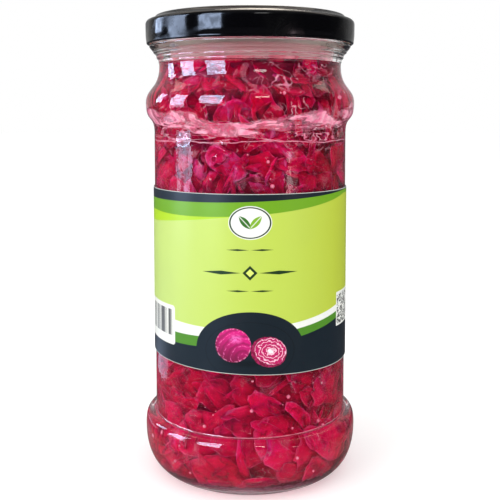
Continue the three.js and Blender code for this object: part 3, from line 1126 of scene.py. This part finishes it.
def label_band(columns=220, rows=6):
    span = 2 * math.pi - LABEL_OPEN
    vertices = []
    for off in (LABEL_GAP + LABEL_THICKNESS, LABEL_GAP):
        for i in range(columns + 1):
            angle = span * (i / columns - 0.5)
            low = LABEL_LOW - LABEL_SKEW * math.sin(angle)
            for j in range(rows + 1):
                height = low + (LABEL_HIGH - low) * j / rows
                radius = float(body_radius(height)) + off
                vertices.append(round_the_jar(radius, angle, height))
    count = (columns + 1) * (rows + 1)
    faces = []
    for i in range(columns):
        for j in range(rows):
            a = i * (rows + 1) + j
            b, c, d = a + rows + 1, a + rows + 2, a + 1
            faces.append((a, b, c, d))
            faces.append((count + a, count + d, count + c, count + b))
    border = [i * (rows + 1) for i in range(columns)]
    border += [columns * (rows + 1) + j for j in range(rows)]
    border += [i * (rows + 1) + rows for i in range(columns, 0, -1)]
    border += list(range(rows, 0, -1))
    for k, a in enumerate(border):
        b = border[(k + 1) % len(border)]
        faces.append((a, count + a, count + b, b))
    return mesh_object("printed_label", vertices, faces)


label = label_band()
label.data.set_sharp_from_angle(angle=math.radians(40))


def write_uv(piece):
    """U is the arc round the jar from the front and V the height, both in units of 100 mm."""
    layer = piece.data.uv_layers.new(name="print")
    for loop in piece.data.loops:
        x, y, z = piece.data.vertices[loop.vertex_index].co
        angle = math.atan2(x, -y)
        layer.data[loop.index].uv = (angle * LABEL_RADIUS / 100, z / MM / 100)


write_uv(label)

# %% Lines and shapes of the print
class Print:
    """The label's print: places in millimetres, s round the jar and z up."""

    def __init__(self, tree):
        self.tree = tree
        spot = tree.add("ShaderNodeUVMap", {"uv_map": "print"})
        s, z, _ = tree.parts(spot)
        self.s, self.z = s * 100.0, z * 100.0
        self.t = (self.s / (LABEL_RADIUS * math.radians(60))).least(1.15).most(-1.15)
        self.picture = None

    def paint(self, share, colour):
        self.picture = self.tree.blend(share, self.picture, colour)

    def line(self, left, middle, right):
        slope, bow = (right - left) / 2, (right + left) / 2 - middle
        return middle + slope * self.t + bow * (self.t * self.t)

    def under(self, line, soft=0.09):
        return self.tree.ease(line - self.z, -soft, soft)

    def oval(self, s, z, half_width, half_height):
        """How far inside an oval a place is: 1 at its middle, 0 on its edge."""
        across = (self.s - s) / half_width
        up = (self.z - z) / half_height
        return 1 - length(across, up)

    def box(self, s, z, half_width, half_height, corner, soft=0.09):
        across = (abs(self.s - s) - (half_width - corner)).most(0.0)
        up = (abs(self.z - z) - (half_height - corner)).most(0.0)
        away = length(across, up) - corner
        return self.tree.ease(-away, -soft, soft)


# %% The fields of colour
paper = Finish("printed paper", Specular_IOR_Level=0.35)
art = Print(paper)
mix = paper.blend
ease = paper.ease

NAVY = shade(20, 33, 43)
LEAF_GREEN = shade(108, 164, 8)
LIME_WEDGE = shade(172, 212, 8)
DEEP_GREEN = shade(76, 138, 30)
WHITE = shade(232, 234, 228)
INK = shade(28, 60, 26)
ARCH_HEIGHT = 60.0

# The ground runs lighter on the left and darker to the right: painted light from the window on the
# left.
art.picture = mix(ease(art.t, -1.1, 0.3), shade(190, 215, 116), shade(186, 208, 78))
art.paint(ease(art.t, 0.2, 1.1), shade(181, 197, 54))
wedge = art.under(art.line(130, 130, 130)) * (1 - art.under(art.line(107.6, 112.2, 118)))
art.paint(wedge, LIME_WEDGE)
art.paint(1 - art.under(art.line(111.1, 111.9, 116.9)), LEAF_GREEN)
art.paint(1 - art.under(art.line(116.1, 117.0, 119.0)), NAVY)
art.paint(art.under(art.line(70.2, 68.9, 74.2)), WHITE)
art.paint(art.under(art.line(64.7, 66.0, 71.5)), DEEP_GREEN)
art.paint(art.under(art.line(60.4, 62.3, 68.8)), NAVY)
art.paint(ease(art.oval(0.0, ARCH_HEIGHT, 21.4, 15.4), -0.004, 0.004), NAVY)
ring = ease(abs(art.oval(0.0, ARCH_HEIGHT, 17.2, 11.4)), 0.016, 0.004)
art.paint(ring * 0.6, shade(10, 18, 24))

# %% [markdown]
# The arch holds a picture of a whole and a halved red cabbage. The whole one is a ball with wavy leaf
# ribs, lit from above. The half is a set of crinkled pale lines round its heart.

# %% Draw the two cabbages
WHOLE_MIDDLE = (-6.4, 62.4)
WHOLE_HALF = (6.8, 6.6)
CUT_MIDDLE = (7.2, 59.8)

waver = paper.noise(paper.vector(art.s, art.z, 0.0), 0.55, 2.0)
fine = paper.noise(paper.vector(art.s, art.z, 9.0), 1.3, 3.0)


def whole_head():
    inside = art.oval(*WHOLE_MIDDLE, *WHOLE_HALF) + 0.03 * (waver - 0.5)
    lift = 0.7 * (art.z - WHOLE_MIDDLE[1]) / WHOLE_HALF[1]
    lift = lift + 0.25 * (art.s - WHOLE_MIDDLE[0]) / WHOLE_HALF[0]
    body = mix(ease(lift, -0.9, 0.6), shade(112, 0, 54), shade(212, 0, 122))
    across, up = art.s + 2.6, art.z - 57.6
    arcs = 2.2 * length(across, up) + 2.6 * waver + 0.9 * fine
    folds = ease(arcs.sin(), 0.2, 0.95)
    body = mix(folds * 0.5, body, shade(116, 0, 60))
    veins = ease((arcs + 2.2).sin(), 0.88, 1.0) * ease(fine, 0.40, 0.6)
    body = mix(veins * 0.5, body, shade(255, 110, 186))
    shine = ease(art.oval(-5.4, 65.0, 3.4, 2.6), 0.0, 0.9) * ease(fine, 0.3, 0.6)
    body = mix(shine * 0.75, body, shade(250, 116, 202))
    rim = ease(inside, 0.10, 0.02)
    body = mix(rim * 0.6 * ease(fine, 0.48, 0.58), body, shade(240, 150, 190))
    art.paint(ease(inside, -0.012, 0.012), body)


def half_head():
    s, z = art.s - CUT_MIDDLE[0], art.z - CUT_MIDDLE[1]
    across, up = 0.94 * s - 0.34 * z, 0.34 * s + 0.94 * z

    def reach(middle, size):
        return length((across - middle) / size[0], (up - middle) / size[1]) + 0.12 * (waver - 0.5)

    rind = mix(ease(fine, 0.45, 0.6) * 0.4, shade(126, 0, 54), shade(214, 40, 120))
    cut = reach(0.5, (6.3, 5.2))
    crinkle = (27.0 * cut + 10.0 * waver + 4.0 * fine).sin()
    face = mix(ease(crinkle, 0.42, 0.96) * 0.80, shade(188, 0, 92), shade(255, 214, 232))
    face = mix(ease(cut + 0.3 * (fine - 0.5), 0.26, 0.12) * 0.9, face, shade(255, 240, 246))
    body = mix(ease(cut, 1.0, 0.96), rind, face)
    art.paint(ease(reach(0.0, (7.1, 5.9)), 1.0, 0.98), body)


shadow = ease(art.oval(-2.0, 55.4, 12.0, 1.8), 0.0, 0.8)
art.paint(shadow * 0.6, shade(14, 20, 26))
whole_head()
half_head()

# %% [markdown]
# The other printed places hold plain generic shapes: an oval mark with two leaves, slim tapered bars
# with a lozenge, a block of bars of random width, and a block of random squares. None can be read.

# %% Draw the generic mark, the bars and the blocks
MARK = (0.1, 109.2)
LEAVES_HEIGHT = 109.3
LOZENGE_HEIGHT = 90.3
BAR_WIDTH = 0.36
SQUARE_SIZE = 0.62
SQUARES = (48.4, 71.9)

art.paint(ease(art.oval(*MARK, 8.2, 6.3), -0.01, 0.01), WHITE)
art.paint(ease(abs(art.oval(*MARK, 7.6, 5.7)), 0.05, 0.03), INK)


def leaf(s, z, lean, colour):
    across = (art.s - s) * math.cos(lean) + (art.z - z) * math.sin(lean)
    up = (art.z - z) * math.cos(lean) - (art.s - s) * math.sin(lean)
    width = (1.35 * (1 - (up / 3.4) * (up / 3.4))).most(0.0)
    blade = ease(width - abs(across), -0.05, 0.05)
    rib = ease(abs(across), 0.22, 0.12)
    art.paint(blade * (1 - 0.8 * rib), colour)


leaf(-1.9, LEAVES_HEIGHT, 0.75, shade(52, 112, 34))
leaf(2.1, LEAVES_HEIGHT, -0.75, shade(126, 176, 30))


def lozenge(s, z, half_width, half_height):
    away = abs(art.s - s) / half_width + abs(art.z - z) / half_height
    return ease(away, 1.04, 0.96)


art.paint(lozenge(0, LOZENGE_HEIGHT, 2.8, 2.8), INK)
art.paint(lozenge(0, LOZENGE_HEIGHT, 1.5, 1.5), shade(214, 235, 110))
for side in (-1, 1):
    art.paint(lozenge(side * 11.0, LOZENGE_HEIGHT, 7.6, 0.75), INK)
    art.paint(lozenge(side * 4.6, 99.0, 4.4, 0.38), INK)
    art.paint(lozenge(side * 4.6, 83.4, 4.4, 0.38), INK)

art.paint(art.box(-44.6, 66.9, 12.0, 7.9, 1.4), WHITE)
values = {"W": (art.s / BAR_WIDTH).floor()}
bars = paper.add("ShaderNodeTexWhiteNoise", {"noise_dimensions": "1D"}, values)
art.paint(ease(bars, 0.52, 0.54) * art.box(-44.4, 67.9, 10.2, 5.2, 0.05), shade(34, 34, 40))

art.paint(art.box(*SQUARES, 7.6, 6.9, 0.3), WHITE)
cell = paper.vector((art.s / SQUARE_SIZE).floor(), (art.z / SQUARE_SIZE).floor(), 4.0)
values = {"Vector": cell}
squares = paper.add("ShaderNodeTexWhiteNoise", {"noise_dimensions": "3D"}, values)
art.paint(ease(squares, 0.49, 0.51) * art.box(*SQUARES, 6.9, 6.2, 0.05), shade(26, 30, 34))

# %% Finish the paper
low_edge = LABEL_LOW - LABEL_SKEW * (art.s / LABEL_RADIUS).sin()
top_trim = ease(LABEL_HIGH - art.z, 0.30, 0.16)
low_trim = ease(art.z - low_edge, 0.30, 0.16)
art.paint(top_trim.most(low_trim) * 0.75, shade(214, 222, 216))
where = paper.place()
soil = paper.noise(where, 45.0, 3.0)
art.paint(0.05 * ease(soil, 0.45, 0.8), shade(120, 120, 110))
paper.feed("Base Color", art.picture)
paper.feed("Roughness", 0.30 + 0.10 * soil)
paper.roughen(0.08, 0.0001, paper.noise(where, 1500.0, 3.0))
coat(label, paper)
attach(label, "root")
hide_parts("wrap_label")
print("label:", len(label.data.polygons), "faces")
